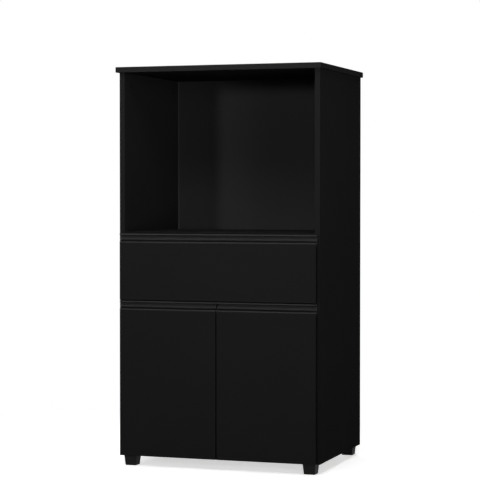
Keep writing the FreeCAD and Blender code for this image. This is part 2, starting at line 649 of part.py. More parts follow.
def add_box_screws(side, side_node):
    """Countersunk screws through a drawer side into the end of the drawer back."""
    back_top = DRAWER_BOX_TOP - DRAWER_BACK_DROP
    inward = X * -side
    for height in (DRAWER_BOTTOM_HIGH + BOX_SCREW_FROM_EDGE, back_top - BOX_SCREW_FROM_EDGE):
        face = point(side * DRAWER_BOX_HALF, DRAWER_BOX_REAR - DRAWER_SIDE / 2, height)
        head = Part.makeCone(BOX_SCREW_HEAD_RADIUS, BOX_SCREW_RADIUS, BOX_SCREW_HEAD_DEPTH,
                             face, inward)
        shank = rod(BOX_SCREW_RADIUS, face, inward, BOX_SCREW_LENGTH)
        add_to("drawer_box_screws", head.fuse(shank).removeSplitter())
        cut_from(side_node, Part.makeCone(BOX_SCREW_HEAD_RADIUS + FIT, BOX_SCREW_RADIUS + FIT,
                                          BOX_SCREW_HEAD_DEPTH, face, inward))
        for board in (side_node, "drawer_back"):
            cut_from(board, rod(BOX_SCREW_RADIUS + FIT, face, inward, BOX_SCREW_LENGTH + HOLE_END))


# --- Roller slides -------------------------------------------------------------------------
def slide_point(side, across, depth, height):
    """A place measured from a carcass side's inner face towards the drawer."""
    return point(side * (INNER_HALF - across), depth, height)


def cabinet_rail(side):
    """The channel on the carcass side that the drawer's rear roller runs in."""
    outline = [(0, RAIL_TRACK - SLIDE_STEEL), (RAIL_LOWER_FLANGE, RAIL_TRACK - SLIDE_STEEL),
               (RAIL_LOWER_FLANGE, RAIL_TRACK), (SLIDE_STEEL, RAIL_TRACK),
               (SLIDE_STEEL, RAIL_TOP - SLIDE_STEEL), (RAIL_UPPER_FLANGE, RAIL_TOP - SLIDE_STEEL),
               (RAIL_UPPER_FLANGE, RAIL_TOP), (0, RAIL_TOP)]
    corners = [slide_point(side, across, RAIL_FRONT, height) for across, height in outline]
    return extrusion(corners, Y * (RAIL_REAR - RAIL_FRONT))


def drawer_runner(side):
    """The angle under the drawer side, with a flange that rides on the cabinet's front roller."""
    web = RUNNER_WEB
    outline = [(web, RUNNER_BOTTOM), (web + RUNNER_INNER_FLANGE, RUNNER_BOTTOM),
               (web + RUNNER_INNER_FLANGE, DRAWER_BOX_BOTTOM), (SLIDE_SPACE, DRAWER_BOX_BOTTOM),
               (SLIDE_SPACE, RUNNER_TOP), (web - RUNNER_OUTER_FLANGE, RUNNER_TOP),
               (web - RUNNER_OUTER_FLANGE, RUNNER_TRACK), (web, RUNNER_TRACK)]
    corners = [slide_point(side, across, RUNNER_FRONT, height) for across, height in outline]
    return extrusion(corners, Y * (DRAWER_BOX_REAR - RUNNER_FRONT))


def roller(side, near, depth):
    """A plastic roller whose near face is `near` from the carcass side, with a bore and a groove."""
    axis = X * -side
    start = slide_point(side, near, depth, ROLLER_AXIS)
    wheel = rod(ROLLER_RADIUS, start, axis, ROLLER_WIDTH)
    wheel = wheel.cut(rod(AXLE_RADIUS + FIT, start, axis, ROLLER_WIDTH))
    groove = Part.makeTorus(ROLLER_RADIUS, ROLLER_GROOVE_RADIUS, start + axis * (ROLLER_WIDTH / 2),
                            axis)
    return wheel.cut(groove)


def add_slides():
    """Rails, runners, rollers, axles and screws of both slides."""
    middle_height = ROLLER_AXIS
    rail_screws = spread(RAIL_FRONT + SLIDE_SCREW_FROM_END, RAIL_REAR - SLIDE_SCREW_FROM_END,
                         SCREWS_PER_SLIDE)
    runner_screws = spread(RUNNER_FRONT + SLIDE_SCREW_FROM_END,
                           DRAWER_BOX_REAR - SLIDE_SCREW_FROM_END, SCREWS_PER_SLIDE)
    flange_middle = RUNNER_WEB + (SLIDE_STEEL + RUNNER_INNER_FLANGE) / 2
    for side, side_name in SIDE_NAMES.items():
        outward = X * side
        rail = cabinet_rail(side)
        for depth in rail_screws:
            seat = slide_point(side, SLIDE_STEEL, depth, middle_height)
            rail = rail.cut(screw_hole(seat, outward, SLIDE_STEEL))
            add_pan_screw("cabinet_screws", seat, outward, SCREW_LENGTH, SLIDE_STEEL,
                          side_name + "_side")
        add_to(side_name + "_cabinet_rail", rail)

        runner = drawer_runner(side)
        for depth in runner_screws:
            seat = slide_point(side, flange_middle, depth, RUNNER_BOTTOM)
            runner = runner.cut(screw_hole(seat, Z, SLIDE_STEEL))
            add_pan_screw("runner_screws", seat, Z, RUNNER_SCREW_LENGTH, SLIDE_STEEL,
                          "drawer_" + side_name + "_side")
        add_to(side_name + "_drawer_runner", runner)

        near = SLIDE_STEEL + ROLLER_SIDE_PLAY
        add_to("cabinet_rollers", roller(side, near, CABINET_ROLLER_Y))
        far = near + ROLLER_WIDTH + ROLLER_SIDE_PLAY
        add_axle("cabinet_roller_axles", side, CABINET_ROLLER_Y, SLIDE_STEEL, far)

        far = RUNNER_WEB - ROLLER_SIDE_PLAY - ROLLER_WIDTH
        add_to("drawer_rollers", roller(side, far, DRAWER_ROLLER_Y))
        add_axle("drawer_roller_axles", side, DRAWER_ROLLER_Y, RUNNER_WEB, far - ROLLER_SIDE_PLAY)


def add_axle(node, side, depth, root, tip):
    """A riveted axle from the steel at `root` to its head at `tip`."""
    towards = X * (-side if tip > root else side)
    start = slide_point(side, root, depth, ROLLER_AXIS)
    end = slide_point(side, tip, depth, ROLLER_AXIS)
    shaft = rod(AXLE_RADIUS, start, towards, abs(tip - root))
    head = rod(AXLE_HEAD_RADIUS, end, towards, AXLE_HEAD_THICKNESS)
    add_to(node, shaft.fuse(head).removeSplitter())


# --- Concealed hinges ----------------------------------------------------------------------
def hinge_point(across, depth, height):
    """A place measured from the left side's inner face and front edge."""
    return point(-INNER_HALF + across, CARCASS_FRONT + depth, height)


def hinge_cup(height):
    """The cup sunk in the door, its flange, and the pin across it."""
    centre = hinge_point(CUP_AXIS_IN, -FRONT_STANDOFF, height)
    flange_top = centre + Y * CUP_FLANGE
    cup = rod(CUP_RADIUS, centre - Y * CUP_DEPTH, Y, CUP_DEPTH + CUP_FLANGE)
    rim = rod(CUP_RADIUS + CUP_FLANGE_RIM, centre, Y, CUP_FLANGE)
    half = CUP_WING_HEIGHT / 2
    wings = block(centre + point(-CUP_WING_OUTER, 0, -half),
                  centre + point(CUP_WING_INNER, CUP_FLANGE, half))
    hollow = rod(CUP_RADIUS - CUP_WALL, flange_top, Y * -1, CUP_DEPTH + CUP_FLANGE - CUP_WALL)
    cup = cup.fuse([rim, wings]).cut(hollow)
    offset = abs(CUP_AXIS_IN - CUP_PIN_IN) + PIN_SHAFT
    half_chord = math.sqrt(CUP_RADIUS ** 2 - offset ** 2)
    pin = rod(PIN_SHAFT, hinge_point(CUP_PIN_IN, -CUP_PIN_FORWARD, height - half_chord), Z,
              2 * half_chord)
    cup = cup.fuse(pin)
    for rise in (-CUP_SCREW_SPACING / 2, CUP_SCREW_SPACING / 2):
        seat = hinge_point(CUP_AXIS_IN + CUP_SCREW_OFFSET, CUP_FLANGE - FRONT_STANDOFF,
                           height + rise)
        cup = cup.cut(screw_hole(seat, Y * -1, CUP_FLANGE))
    return cup


def hinge_link(height):
    """The link between the arm's pin and the cup's pin."""
    low = height - LINK_WIDTH / 2
    arm_eye = hinge_point(ARM_PIN_IN, -ARM_PIN_FORWARD, low)
    cup_eye = hinge_point(CUP_PIN_IN, -CUP_PIN_FORWARD, low)
    along = (cup_eye - arm_eye).normalize()
    across = Z.cross(along) * LINK_HALF_THICKNESS
    bar = extrusion([arm_eye - across, cup_eye - across, cup_eye + across, arm_eye + across],
                    Z * LINK_WIDTH)
    link = bar
    for eye in (arm_eye, cup_eye):
        link = link.fuse(rod(LINK_EYE, eye, Z, LINK_WIDTH))
    for eye in (arm_eye, cup_eye):
        link = link.cut(rod(PIN_SHAFT + PIN_PLAY, eye, Z, LINK_WIDTH))
    return link


def hinge_arm(height):
    """The cranked arm: a fork at its nose, a channel over the mounting plate, and its pin."""
    low = height - ARM_WIDTH / 2
    nose = ARM_PIN_IN
    rest = PLATE_THICKNESS + PLATE_ARM_GAP
    outline = [(nose - ARM_NOSE, -ARM_PIN_FORWARD), (nose + ARM_NOSE, -ARM_PIN_FORWARD),
               (nose + ARM_NOSE, ARM_CRANK_TOP), (ARM_HEIGHT, ARM_CRANK_END),
               (ARM_HEIGHT, ARM_REAR), (rest, ARM_REAR), (rest, ARM_CRANK_FOOT),
               (nose - ARM_NOSE, 0)]
    corners = [hinge_point(across, depth, low) for across, depth in outline]
    arm = extrusion(corners, Z * ARM_WIDTH)
    arm = arm.fuse(rod(ARM_NOSE, hinge_point(nose, -ARM_PIN_FORWARD, low), Z, ARM_WIDTH))
    fork = LINK_WIDTH / 2 + ARM_FORK_PLAY
    arm = arm.cut(block(hinge_point(0, -ARM_PIN_FORWARD - ARM_NOSE, height - fork),
                        hinge_point(nose + ARM_NOSE, ARM_CRANK_TOP, height + fork)))
    channel = ARM_WIDTH / 2 - ARM_SHEET
    arm = arm.cut(block(hinge_point(rest, ARM_CRANK_END, height - channel),
                        hinge_point(ARM_HEIGHT - ARM_SHEET, ARM_REAR, height + channel)))
    arm = arm.cut(rod(ARM_SCREW_RADIUS + FIT, hinge_point(0, ARM_SCREW_LINE, height), X,
                      ARM_HEIGHT))
    pin = rod(PIN_SHAFT, hinge_point(nose, -ARM_PIN_FORWARD, low), Z, ARM_WIDTH)
    return arm.fuse(pin)


def mounting_plate(height):
    """The cross-shaped plate on the carcass side, with the rib that the arm clips over."""
    half = PLATE_WIDTH / 2
    wing = PLATE_WING_HEIGHT / 2
    plate = block(hinge_point(0, PLATE_FRONT, height - half),
                  hinge_point(PLATE_THICKNESS, PLATE_REAR, height + half))
    wings = block(hinge_point(0, PLATE_SCREW_LINE - PLATE_WING_WIDTH / 2, height - wing),
                  hinge_point(PLATE_THICKNESS, PLATE_SCREW_LINE + PLATE_WING_WIDTH / 2,
                              height + wing))
    rib_half = ARM_WIDTH / 2 - ARM_SHEET - PLATE_RIB_PLAY
    rib = block(hinge_point(0, PLATE_FRONT, height - rib_half),
                hinge_point(PLATE_RIB_HEIGHT, PLATE_REAR, height + rib_half))
    plate = plate.fuse([wings, rib]).removeSplitter()
    for rise in (-PLATE_SCREW_SPACING / 2, PLATE_SCREW_SPACING / 2):
        seat = hinge_point(PLATE_THICKNESS, PLATE_SCREW_LINE, height + rise)
        plate = plate.cut(screw_hole(seat, X * -1, PLATE_THICKNESS))
    tapped = ARM_HEIGHT - ARM_SCREW_LENGTH - HOLE_END
    return plate.cut(rod(ARM_SCREW_RADIUS + FIT, hinge_point(tapped, ARM_SCREW_LINE, height), X,
                         ARM_HEIGHT))


def arm_screw(height):
    """The screw that clamps the arm to the plate's rib."""
    seat = hinge_point(ARM_HEIGHT, ARM_SCREW_LINE, height)
    head = rod(ARM_SCREW_HEAD_RADIUS, seat, X, ARM_SCREW_HEAD)
    shank = rod(ARM_SCREW_RADIUS, seat, X * -1, ARM_SCREW_LENGTH)
    slot = block(seat + point(ARM_SCREW_HEAD - SCREW_CROSS_DEPTH, -ARM_SCREW_RADIUS,
                              -SCREW_CROSS / 2),
                 seat + point(ARM_SCREW_HEAD, ARM_SCREW_RADIUS, SCREW_CROSS / 2))
    return head.fuse(shank).removeSplitter().cut(slot)


def add_hinges():
    """Two concealed hinges to each door."""
    for side, side_name in SIDE_NAMES.items():
        door = side_name + "_door"
        for height in HINGE_HEIGHTS:
            add_to(side_name + "_hinge_cups", on_side(hinge_cup(height), side))
            add_to(side_name + "_hinge_links", on_side(hinge_link(height), side))
            add_to("hinge_arms", on_side(hinge_arm(height), side))
            add_to("hinge_plates", on_side(mounting_plate(height), side))
            add_to("hinge_arm_screws", on_side(arm_screw(height), side))
            mouth = hinge_point(CUP_AXIS_IN, -FRONT_STANDOFF, height)
            cut_from(door, on_side(rod(CUP_RADIUS + FIT, mouth, Y * -1, CUP_DEPTH + FIT), side))
            for rise in (-CUP_SCREW_SPACING / 2, CUP_SCREW_SPACING / 2):
                seat = hinge_point(CUP_AXIS_IN + CUP_SCREW_OFFSET, CUP_FLANGE - FRONT_STANDOFF,
                                   height + rise)
                seat.x = seat.x * -side
                add_pan_screw(side_name + "_cup_screws", seat, Y * -1, SCREW_LENGTH, CUP_FLANGE,
                              door)
            for rise in (-PLATE_SCREW_SPACING / 2, PLATE_SCREW_SPACING / 2):
                seat = hinge_point(PLATE_THICKNESS, PLATE_SCREW_LINE, height + rise)
                seat.x = seat.x * -side
                add_pan_screw("cabinet_screws", seat, X * side, SCREW_LENGTH, PLATE_THICKNESS,
                              side_name + "_side")


# --- The whole stand -----------------------------------------------------------------------
def add_carcass():
    """Boards, panels and shelf."""
    for side, side_name in SIDE_NAMES.items():
        add_to(side_name + "_side", on_side(side_board(), side))
    add_to("top_board", top_board())
    add_to("niche_floor", cross_board(NICHE_FLOOR_BOTTOM, CARCASS_REAR))
    add_to("drawer_rail", cross_board(RAIL_MIDDLE - BOARD / 2, CARCASS_FRONT + RAIL_DEPTH))
    add_to("bottom_board", cross_board(CARCASS_BOTTOM, CARCASS_REAR))
    add_to("cupboard_shelf", cupboard_shelf())
    add_to("lower_back", back_panel(CARCASS_BOTTOM, NICHE_FLOOR_MIDDLE - BACK_JOINT / 2))
    add_to("upper_back", back_panel(NICHE_FLOOR_MIDDLE + BACK_JOINT / 2, CARCASS_TOP))


def build():
    """Collects every solid, cuts the holes and writes one file per node."""
    add_carcass()
    add_board_joints()
    add_back_nails()
    add_shelf_pins()
    add_feet()
    add_drawer_front()
    add_drawer_box()
    add_slides()
    add_doors()
    add_hinges()
    os.makedirs("parts", exist_ok=True)
    for node, solids in groups.items():
        if node in cuts:
            solids = [solid.cut(cuts[node]) for solid in solids]
        shape = solids[0] if len(solids) == 1 else Part.makeCompound(solids)
        shape.exportStep(os.path.join("parts", node + ".step"))
        print(node, len(shape.Solids), "valid" if shape.isValid() else "INVALID",
              round(shape.Volume), "mm3")


build()
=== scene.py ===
"""Looks of a black microwave stand: satin boards, finger-pull profiles, slides and hinges.

Metres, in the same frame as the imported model. Run as a script inside Blender.
"""
import math

import bpy
from bpy.props import FloatProperty, FloatVectorProperty, PointerProperty
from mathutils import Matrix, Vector

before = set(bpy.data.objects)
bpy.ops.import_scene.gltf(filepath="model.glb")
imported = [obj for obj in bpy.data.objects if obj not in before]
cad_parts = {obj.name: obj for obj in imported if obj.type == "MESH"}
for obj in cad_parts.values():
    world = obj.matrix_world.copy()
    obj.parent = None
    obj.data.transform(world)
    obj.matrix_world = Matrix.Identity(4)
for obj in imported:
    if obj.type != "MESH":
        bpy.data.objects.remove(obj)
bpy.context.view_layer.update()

bl_info = {
    "name": "Microwave Stand Looks",
    "version": (1, 0, 0),
    "blender": (4, 5, 0),
    "location": "View3D > Sidebar > Stand",
    "description": "Procedural finishes, light and camera for a flat-pack microwave stand",
    "category": "Object",
}

IMAGE_WIDTH = 480.0      # pixels, for the camera's lens
SENSOR = 36.0            # millimetres
NODE_SPACING = 220       # between neighbouring nodes in the node editor
ALONG_X = (1.0, 0.0, 0.0)
ALONG_Y = (0.0, 1.0, 0.0)
ALONG_Z = (0.0, 0.0, 1.0)
DOWN = (0.0, 0.0, -1.0)


# --- Settings ------------------------------------------------------------------------------
def colour(name, description, default):
    """A linear colour setting."""
    return FloatVectorProperty(name=name, description=description, default=default, size=3,
                               min=0.0, max=1.0, subtype="COLOR")


def length(name, description, default):
    """A length setting in metres."""
    return FloatProperty(name=name, description=description, default=default, min=0.0,
                         unit="LENGTH", subtype="DISTANCE", precision=5)


def share(name, description, default):
    """A setting from 0 to 1."""
    return FloatProperty(name=name, description=description, default=default, min=0.0, max=1.0,
                         subtype="FACTOR")


def power(name, description, default):
    """A lamp's power in watts."""
    return FloatProperty(name=name, description=description, default=default, min=0.0, unit="POWER")


class StandFinishes(bpy.types.PropertyGroup):
    """Colours and textures of the stand's finishes."""

    board: colour("Board face", "Satin black melamine on the faces", (0.0099, 0.0099, 0.0101))
    front: colour("Front face", "Satin black melamine of the doors and the drawer front",
                  (0.0084, 0.0084, 0.0086))
    band: colour("Edge band", "Plastic band on the boards' edges", (0.0077, 0.0077, 0.0079))
    # Lighter than the other bands as painted light, for the extra light that falls on the top
    # board's front edge.
    lit_top_band: colour("Top edge band", "Band on the top board, lightened as painted light", (0.0096, 0.0096, 0.0098))
    # Darker than the other bands as painted shade: it stands in for the shadow gaps beside the
    # fronts and the shade on the cross boards' front edges.
    shade_dark_band: colour("Edge band darkened as painted shade", "Band on the fronts and the cross boards",
                      (0.0050, 0.0050, 0.0051))
    # The black print is real; its lightness, about twice the boards', is painted light for the
    # light inside the niche.
    back: colour("Back panel", "Black print on the hardboard's inner face",
                 (0.0189, 0.0189, 0.0192))
    handle: colour("Handle profile", "Satin black extruded profile", (0.0188, 0.0188, 0.0191))
    foot: colour("Foot", "Moulded black plastic", (0.0107, 0.0107, 0.0109))
    cap: colour("Cover cap", "Thin plastic caps over the cam drums", (0.0095, 0.0095, 0.0097))
    slide: colour("Slide coating", "Black powder coat on the slides", (0.018, 0.018, 0.0185))
    roller: colour("Roller", "White moulded rollers", (0.68, 0.68, 0.66))
    zinc: colour("Zinc plating", "Screws, nails and pins", (0.56, 0.57, 0.58))
    nickel: colour("Nickel plating", "Concealed hinges", (0.6, 0.58, 0.54))
    casting: colour("Zinc casting", "Cam drums", (0.42, 0.42, 0.43))
    beech: colour("Dowel wood", "Raw beech", (0.5, 0.32, 0.17))
    chip: colour("Particle board", "Raw core where no band is glued", (0.36, 0.24, 0.13))
    fibre: colour("Hardboard", "Unpainted rear of the back panels", (0.2, 0.1, 0.045))
    bumper: colour("Bumper", "Soft clear dots behind the fronts", (0.5, 0.5, 0.48))
    pebble: length("Pebble size", "Spacing of the melamine's fine texture", 0.0009)
    pebble_depth: length("Pebble depth", "Depth of the melamine's fine texture", 0.00004)
    wear_radius: length("Wear radius", "Reach of the wear beside sharp edges", 0.0008)
    wear: share("Wear", "How much the edges are rubbed", 0.25)
    dust: share("Dust", "How much dust has settled on level faces", 0.03)


class StandStage(bpy.types.PropertyGroup):
    """Camera, light and floor."""

    camera_right: length("Camera right", "Camera's distance to the right of the middle", 1.6263)
    camera_front: length("Camera front", "Camera's distance in front of the middle", 4.7646)
    camera_height: length("Camera height", "Camera's height above the floor", 0.7551)
    camera_yaw: FloatProperty(name="Camera turn", description="Turn of the view to the left",
                              default=math.radians(18.904), subtype="ANGLE", unit="ROTATION")
    camera_tilt: FloatProperty(name="Camera tilt", description="Downward tilt of the view",
                               default=math.radians(1.470), subtype="ANGLE", unit="ROTATION")
    focal_pixels: FloatProperty(name="Focal length", description="Focal length in pixels",
                                default=1773.2, min=1.0)
    key_power: power("Key light", "Small softbox at the front left", 7.7)
    side_power: power("Side light", "Softbox at the right", 9.1)
    front_power: power("Front light", "Softbox above the front", 7.8)
    rear_power: power("Rear light", "Softbox behind the stand", 12.0)
    ceiling_power: power("Ceiling light", "Wide softbox right over the stand", 30.0)
    ambient: share("Ambient", "Strength of the light from all round", 0.04)
    floor_glow: share("Floor glow", "How bright the floor is by itself where it is seen", 0.6)
    floor: colour("Floor", "Pale floor", (0.93, 0.93, 0.93))


# --- Node helpers --------------------------------------------------------------------------
class Nodes:
    """Adds and links nodes in one node tree, each new node to the right of the last."""

    def __init__(self, tree):
        self.tree = tree
        self.column = 0

    def add(self, kind, values=None, **options):
        """A node with its options and its inputs, which are values or sockets."""
        node = self.tree.nodes.new(kind)
        node.location = (NODE_SPACING * self.column, 0)
        self.column += 1
        for option, value in options.items():
            setattr(node, option, value)
        for socket, value in (values or {}).items():
            self.feed(node.inputs[socket], value)
        return node

    def feed(self, socket, value):
        """Links a socket, or sets its value."""
        if isinstance(value, bpy.types.NodeSocket):
            self.tree.links.new(value, socket)
        else:
            socket.default_value = value

    def math(self, operation, first, second=0.0, clamp=False):
        """The result of a Math node."""
        node = self.add("ShaderNodeMath", {0: first, 1: second}, operation=operation,
                        use_clamp=clamp)
        return node.outputs[0]

    def plus(self, base, mask, amount, clamp=False):
        """A base value raised by an amount where a mask is 1."""
        return self.math("ADD", base, self.math("MULTIPLY", mask, amount), clamp)

    def vector(self, operation, first, second=(0.0, 0.0, 0.0)):
        """The result of a Vector Math node."""
        node = self.add("ShaderNodeVectorMath", {0: first, 1: second}, operation=operation)
        return node.outputs["Value" if operation in ("DOT_PRODUCT", "LENGTH") else "Vector"]

    def scaled(self, vector, factor):
        """A vector times a number."""
        node = self.add("ShaderNodeVectorMath", {0: vector, "Scale": factor}, operation="SCALE")
        return node.outputs["Vector"]

    def range(self, value, low, high, to_low=0.0, to_high=1.0):
        """A value mapped smoothly from one range to another."""
        node = self.add("ShaderNodeMapRange", {"Value": value, "From Min": low, "From Max": high,
                                               "To Min": to_low, "To Max": to_high},
                        interpolation_type="SMOOTHSTEP")
        return node.outputs["Result"]

    def blend(self, factor, first, second, mode="MIX"):
        """Two colours mixed."""
        node = self.add("ShaderNodeMix", data_type="RGBA", blend_type=mode)
        self.feed(node.inputs[0], factor)
        self.feed(node.inputs[6], first)
        self.feed(node.inputs[7], second)
        return node.outputs[2]

    def noise(self, vector, detail=2.0, roughness=0.5, distortion=0.0):
        """Noise with features one unit wide."""
        node = self.add("ShaderNodeTexNoise", {"Vector": vector, "Scale": 1.0, "Detail": detail,
                                               "Roughness": roughness, "Distortion": distortion})
        return node.outputs[0]

    def place(self):
        """The piece's own coordinates, in metres."""
        return self.add("ShaderNodeTexCoord").outputs["Object"]

    def place_in(self, size):
        """The piece's own coordinates, in units of a feature's size."""
        return self.scaled(self.place(), self.math("DIVIDE", 1.0, size))

    def facing(self):
        """The piece's own surface normal."""
        return self.add("ShaderNodeTexCoord").outputs["Normal"]


def effect(name, inputs, outputs):
    """A new shader node group with named sockets. Returns its nodes, its inputs and the group."""
    group = bpy.data.node_groups.new(name, "ShaderNodeTree")
    kinds = {float: "NodeSocketFloat", tuple: "NodeSocketColor", Vector: "NodeSocketVector"}
    for socket, default in inputs.items():
        made = group.interface.new_socket(name=socket, in_out="INPUT",
                                          socket_type=kinds[type(default)])
        made.default_value = default
    for socket, kind in outputs.items():
        group.interface.new_socket(name=socket, in_out="OUTPUT", socket_type=kinds[kind])
    nodes = Nodes(group)
    start = nodes.add("NodeGroupInput")
    return nodes, start.outputs, group


def close(nodes, results):
    """Feeds the group's outputs."""
    nodes.add("NodeGroupOutput", results)


# --- Shared effects ------------------------------------------------------------------------
def make_pebble():
    """Fine leathery texture pressed into melamine and moulded plastic."""
    cell_height = 0.7
    grain_height = 0.5
    nodes, given, group = effect("Pebble", {"Size": 0.001}, {"Height": float})
    place = nodes.place_in(given["Size"])
    cells = nodes.add("ShaderNodeTexVoronoi", {"Vector": place, "Scale": 1.0, "Smoothness": 0.7},
                      feature="SMOOTH_F1").outputs["Distance"]
    grain = nodes.noise(place, detail=3.0, roughness=0.6)
    close(nodes, {"Height": nodes.math("ADD", nodes.math("MULTIPLY", cells, cell_height),
                                       nodes.math("MULTIPLY", grain, grain_height))})
    return group


def make_cloud():
    """Slow variation over a surface, from 0 to 1."""
    middle = 0.5
    nodes, given, group = effect("Cloud", {"Size": 0.1, "Contrast": 1.0}, {"Value": float})
    value = nodes.noise(nodes.place_in(given["Size"]), detail=4.0, roughness=0.55, distortion=0.3)
    value = nodes.math("MULTIPLY", nodes.math("SUBTRACT", value, middle), given["Contrast"])
    close(nodes, {"Value": nodes.math("ADD", value, middle, clamp=True)})
    return group


def make_wear():
    """Broken rubbing along sharp edges."""
    nodes, given, group = effect("Edge wear", {"Radius": 0.001, "Amount": 0.5, "Breakup": 0.012},
                                 {"Mask": float})
    soft = nodes.add("ShaderNodeBevel", {"Radius": given["Radius"]}, samples=4).outputs["Normal"]
    sharp = nodes.add("ShaderNodeNewGeometry").outputs["Normal"]
    turn = nodes.math("SUBTRACT", 1.0, nodes.vector("DOT_PRODUCT", soft, sharp))
    edge = nodes.range(turn, low=0.01, high=0.16)
    patches = nodes.noise(nodes.place_in(given["Breakup"]), detail=5.0, roughness=0.7)
    broken = nodes.range(patches, low=0.48, high=0.62)
    mask = nodes.math("MULTIPLY", nodes.math("MULTIPLY", edge, broken), given["Amount"], True)
    close(nodes, {"Mask": mask})
    return group


def make_dust():
    """Fine dust on faces that look up."""
    drifts_per_metre = 9.0
    specks_per_metre = 900.0
    drift_share = 0.6
    speck_share = 0.5
    nodes, given, group = effect("Settled dust", {"Amount": 0.2}, {"Mask": float})
    up = nodes.vector("DOT_PRODUCT", nodes.facing(), ALONG_Z)
    level = nodes.range(up, low=0.6, high=0.95)
    place = nodes.place()
    drift = nodes.noise(nodes.scaled(place, drifts_per_metre), detail=3.0)
    drift = nodes.range(drift, low=0.35, high=0.7)
    specks = nodes.noise(nodes.scaled(place, specks_per_metre), detail=1.0)
    specks = nodes.range(specks, low=0.6, high=0.72)
    amount = nodes.math("ADD", nodes.math("MULTIPLY", drift, drift_share),
                        nodes.math("MULTIPLY", specks, speck_share))
    mask = nodes.math("MULTIPLY", nodes.math("MULTIPLY", level, amount), given["Amount"], True)
    close(nodes, {"Mask": mask})
    return group


def make_edge_faces():
    """1 on the narrow edges of a board whose thickness lies along Axis, 0 on its faces."""
    nodes, given, group = effect("Edge faces", {"Axis": Vector(ALONG_Z)}, {"Mask": float})
    along = nodes.math("ABSOLUTE", nodes.vector("DOT_PRODUCT", nodes.facing(), given["Axis"]))
    close(nodes, {"Mask": nodes.range(along, low=0.55, high=0.45)})
    return group


def make_faces_along():
    """1 where a surface faces along Direction."""
    nodes, given, group = effect("Faces along", {"Direction": Vector(ALONG_Z)}, {"Mask": float})
    along = nodes.vector("DOT_PRODUCT", nodes.facing(), given["Direction"])
    close(nodes, {"Mask": nodes.range(along, low=0.8, high=0.9)})
    return group


def make_chipboard():
    """Flakes and pores of raw particle board."""
    flakes_per_metre = 420.0
    chips_per_metre = 1500.0
    darkest_flake = 0.55
    flake_contrast = 0.75
    nodes, given, group = effect("Chipboard", {"Colour": (0.4, 0.3, 0.2, 1.0)},
                                 {"Colour": tuple, "Height": float})
    place = nodes.place()
    flakes = nodes.add("ShaderNodeTexVoronoi", {"Vector": place, "Scale": flakes_per_metre})
    each = nodes.add("ShaderNodeSeparateColor", {0: flakes.outputs["Color"]}).outputs[0]
    tone = nodes.plus(darkest_flake, each, flake_contrast)
    fine = nodes.noise(nodes.scaled(place, chips_per_metre), detail=2.0)
    tone = nodes.math("MULTIPLY", tone,
                      nodes.range(fine, low=0.3, high=0.6, to_low=0.7, to_high=1.1))
    close(nodes, {"Colour": nodes.scaled(given["Colour"], tone),
                  "Height": nodes.math("ADD", flakes.outputs["Distance"], fine)})
    return group


def make_hardboard():
    """Brown pressed fibre with the screen pattern of its rough side."""
    screen_turn = 1700.0                    # radians per metre
    fibres_per_metre = (300.0, 300.0, 900.0)
    blotches_per_metre = 14.0
    fibre_height = 0.5
    nodes, given, group = effect("Hardboard", {"Colour": (0.3, 0.2, 0.1, 1.0)},
                                 {"Colour": tuple, "Height": float})
    place = nodes.place()
    parts = nodes.add("ShaderNodeSeparateXYZ", {0: place}).outputs
    ridges = []
    for part in (parts["X"], parts["Z"]):
        wave = nodes.math("SINE", nodes.math("MULTIPLY", part, screen_turn))
        ridges.append(nodes.math("ABSOLUTE", wave))
    screen = nodes.math("MULTIPLY", ridges[0], ridges[1])
    fibres = nodes.noise(nodes.vector("MULTIPLY", place, fibres_per_metre), detail=4.0,
                         roughness=0.65, distortion=1.5)
    blotch = nodes.noise(nodes.scaled(place, blotches_per_metre), detail=4.0)
    tone = nodes.math("MULTIPLY",
                      nodes.range(fibres, low=0.25, high=0.75, to_low=0.72, to_high=1.25),
                      nodes.range(blotch, low=0.3, high=0.7, to_low=0.85, to_high=1.12))
    close(nodes, {"Colour": nodes.scaled(given["Colour"], tone),
                  "Height": nodes.plus(screen, fibres, fibre_height)})
    return group


def make_draw_lines():
    """Fine lines along X, as an extrusion's die leaves them."""
    length_share = 0.01                     # how fast they change along X, to how fast across
    nodes, given, group = effect("Draw lines", {"Spacing": 0.0006}, {"Height": float})
    across = nodes.math("DIVIDE", 1.0, given["Spacing"])
    stretch = nodes.add("ShaderNodeCombineXYZ", {0: nodes.math("MULTIPLY", across, length_share),
                                                 1: across, 2: across}).outputs[0]
    place = nodes.vector("MULTIPLY", nodes.place(), stretch)
    close(nodes, {"Height": nodes.noise(place, detail=3.0, roughness=0.6)})
    return group


def make_scratches():
    """Short tumbling marks on plated metal."""
    bend = 4.0
    stretch = (0.4, 3.0, 3.0)
    nodes, given, group = effect("Tumble marks", {"Size": 0.002}, {"Height": float})
    place = nodes.place_in(given["Size"])
    drift = nodes.add("ShaderNodeTexNoise", {"Vector": place, "Scale": 0.7}).outputs["Color"]
    bent = nodes.vector("ADD", place, nodes.scaled(drift, bend))
    close(nodes, {"Height": nodes.noise(nodes.vector("MULTIPLY", bent, stretch), detail=4.0,
                                        roughness=0.65)})
    return group


MAKERS = {"pebble": make_pebble, "cloud": make_cloud, "wear": make_wear, "dust": make_dust,
          "edge_faces": make_edge_faces, "faces_along": make_faces_along,
          "chipboard": make_chipboard, "hardboard": make_hardboard,
          "draw_lines": make_draw_lines, "scratches": make_scratches}
effects = {}


def use(nodes, name, values=None):
    """Places a shared effect in a material and returns its outputs."""
    if name not in effects:
        effects[name] = MAKERS[name]()
    node = nodes.add("ShaderNodeGroup", node_tree=effects[name])
    for socket, value in (values or {}).items():
        nodes.feed(node.inputs[socket], value)
    return node.outputs


